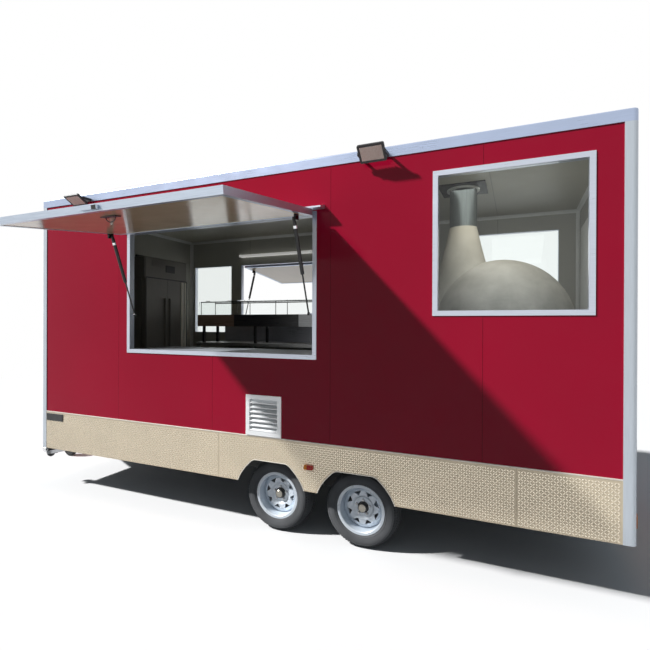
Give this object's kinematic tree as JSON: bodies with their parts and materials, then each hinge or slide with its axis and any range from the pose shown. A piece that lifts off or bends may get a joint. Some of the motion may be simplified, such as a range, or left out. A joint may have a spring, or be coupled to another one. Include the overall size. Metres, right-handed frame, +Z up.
{
  "type": "food trailer",
  "caption": "Boxy towed food trailer with lift-up serving hatches on gas struts, a rear entry door, a domed oven inside, a drawbar with jockey wheel and tandem wheels.",
  "frame": {"origin": "middle of the footprint on the ground, with both hatches open", "axes": "+X towards the rear, along the length; -Y is the near serving side; +Z up"},
  "size_m": [6.726, 4.8858, 3.31],
  "materials": {
    "crimson_panel": "glossy crimson skin on a sandwich panel",
    "white_panel": "smooth white skin",
    "satin_aluminium": "satin extrusion",
    "checker_plate": "raised bar pattern",
    "galvanised_steel": "galvanised",
    "zinc_steel": "bright zinc plated",
    "dark_steel": "black coated steel",
    "black_metal": "satin black",
    "dark_plastic": "moulded dark grey",
    "white_plastic": "moulded white",
    "stainless": "brushed stainless",
    "clear_glass": "clear",
    "lamp_glass": "frosted",
    "lamp_lens": "ribbed lens",
    "floor_vinyl": "non-slip vinyl",
    "tyre_rubber": "worn black",
    "black_rubber": "solid rubber",
    "wheel_silver": "silver painted steel",
    "oven_render": "rendered masonry"
  },
  "bodies": {
    "trailer": {"axles": "galvanised_steel", "chassis_rails": "galvanised_steel", "corner_posts": "satin_aluminium", "cross_members": "galvanised_steel", "display_cabinet": "stainless", "display_glass": "clear_glass", "drawbar_arms": "galvanised_steel", "far_wall": "crimson_panel", "flood_lamps": "black_metal", "flood_lenses": "lamp_glass", "floor_panel": "floor_vinyl", "fridge": "black_metal", "front_wall": "crimson_panel", "hatch_frames": "satin_aluminium", "hinge_rails": "satin_aluminium", "jockey_tube": "zinc_steel", "lamps": "lamp_lens", "leaf_springs": "dark_steel", "louvre_vent": "white_plastic", "near_counter": "stainless", "near_wall": "crimson_panel", "oven_dome": "oven_render", "oven_flue": "galvanised_steel", "oven_stand": "dark_steel", "power_inlet": "dark_plastic", "prep_bench": "stainless", "rear_wall": "crimson_panel", "roof_panel": "white_panel", "roof_rails": "satin_aluminium", "skirt_plates": "checker_plate", "steady_brackets": "zinc_steel", "tow_coupling": "zinc_steel", "wheel_boxes": "dark_steel", "window_frames": "satin_aluminium", "window_glass": "clear_glass"},
    "near_hatch": {"near_hatch_panel": "crimson_panel", "near_hatch_edging": "satin_aluminium"},
    "far_hatch": {"far_hatch_panel": "crimson_panel", "far_hatch_edging": "satin_aluminium"},
    "near_strut_tubes": {"near_strut_tubes": "black_metal"},
    "near_strut_rods": {"near_strut_rods": "black_metal"},
    "far_strut_tubes": {"far_strut_tubes": "black_metal"},
    "far_strut_rods": {"far_strut_rods": "black_metal"},
    "entry_door": {"entry_door": "crimson_panel"},
    "jockey_fork": {"jockey_fork": "zinc_steel"},
    "jockey_wheel": {"jockey_wheel": "black_rubber"},
    "near_steady_leg": {"near_steady_leg": "zinc_steel"},
    "far_steady_leg": {"far_steady_leg": "zinc_steel"},
    "front_near_wheel": {"front_near_wheel": "wheel_silver", "front_near_tyre": "tyre_rubber"},
    "front_far_wheel": {"front_far_wheel": "wheel_silver", "front_far_tyre": "tyre_rubber"},
    "rear_near_wheel": {"rear_near_wheel": "wheel_silver", "rear_near_tyre": "tyre_rubber"},
    "rear_far_wheel": {"rear_far_wheel": "wheel_silver", "rear_far_tyre": "tyre_rubber"}
  },
  "joints": [
    {"name": "near_hatch_hinge", "type": "hinge", "parent": "trailer", "child": "near_hatch", "pos_m": [0.19, -1.266, 2.642], "axis": [1, 0, 0], "range_deg": [0, 82.9]},
    {"name": "near_strut_swing", "type": "hinge", "parent": "trailer", "child": "near_strut_rods", "pos_m": [0.19, -1.176, 1.833], "axis": [-1, 0, 0], "range_deg": [0, 19.08]},
    {"name": "near_strut_stroke", "type": "slide", "parent": "near_strut_rods", "child": "near_strut_tubes", "axis": [0, 0.349, -0.9371], "range_m": [0, 0.19946]},
    {"name": "far_hatch_hinge", "type": "hinge", "parent": "trailer", "child": "far_hatch", "pos_m": [-0.106, 1.266, 2.642], "axis": [-1, 0, 0], "range_deg": [0, 82.9]},
    {"name": "far_strut_swing", "type": "hinge", "parent": "trailer", "child": "far_strut_rods", "pos_m": [-0.106, 1.176, 1.833], "axis": [1, 0, 0], "range_deg": [0, 19.08]},
    {"name": "far_strut_stroke", "type": "slide", "parent": "far_strut_rods", "child": "far_strut_tubes", "axis": [0, -0.349, -0.9371], "range_m": [0, 0.19946]},
    {"name": "door_hinge", "type": "hinge", "parent": "trailer", "child": "entry_door", "pos_m": [3.353, 1.092, 0.61], "axis": [0, 0, 1], "range_deg": [0, 110]},
    {"name": "front_near_wheel_spin", "type": "hinge", "parent": "trailer", "child": "front_near_wheel", "pos_m": [0.8, -1.0275, 0.297], "axis": [0, 1, 0], "continuous": true},
    {"name": "front_far_wheel_spin", "type": "hinge", "parent": "trailer", "child": "front_far_wheel", "pos_m": [0.8, 1.0275, 0.297], "axis": [0, 1, 0], "continuous": true},
    {"name": "rear_near_wheel_spin", "type": "hinge", "parent": "trailer", "child": "rear_near_wheel", "pos_m": [1.546, -1.0275, 0.297], "axis": [0, 1, 0], "continuous": true},
    {"name": "rear_far_wheel_spin", "type": "hinge", "parent": "trailer", "child": "rear_far_wheel", "pos_m": [1.546, 1.0275, 0.297], "axis": [0, 1, 0], "continuous": true},
    {"name": "jockey_swivel", "type": "hinge", "parent": "trailer", "child": "jockey_fork", "pos_m": [-2.803, -0.33554, 0.27], "axis": [0, 0, 1], "continuous": true},
    {"name": "jockey_wheel_spin", "type": "hinge", "parent": "jockey_fork", "child": "jockey_wheel", "pos_m": [-2.758, -0.33554, 0.11], "axis": [0, 1, 0], "continuous": true},
    {"name": "near_steady_swing", "type": "hinge", "parent": "trailer", "child": "near_steady_leg", "pos_m": [-1.616, -1.138, 0.442], "axis": [0, -1, 0], "range_deg": [0, 64]},
    {"name": "far_steady_swing", "type": "hinge", "parent": "trailer", "child": "far_steady_leg", "pos_m": [-1.616, 1.138, 0.442], "axis": [0, -1, 0], "range_deg": [0, 64]}
  ],
  "couplings": [
    {"joint": "near_strut_swing", "follows": "near_hatch_hinge", "ratio": 0.23},
    {"joint": "near_strut_stroke", "follows": "near_hatch_hinge", "m_per_rad": 0.13751},
    {"joint": "far_strut_swing", "follows": "far_hatch_hinge", "ratio": 0.23},
    {"joint": "far_strut_stroke", "follows": "far_hatch_hinge", "m_per_rad": 0.13751}
  ]
}
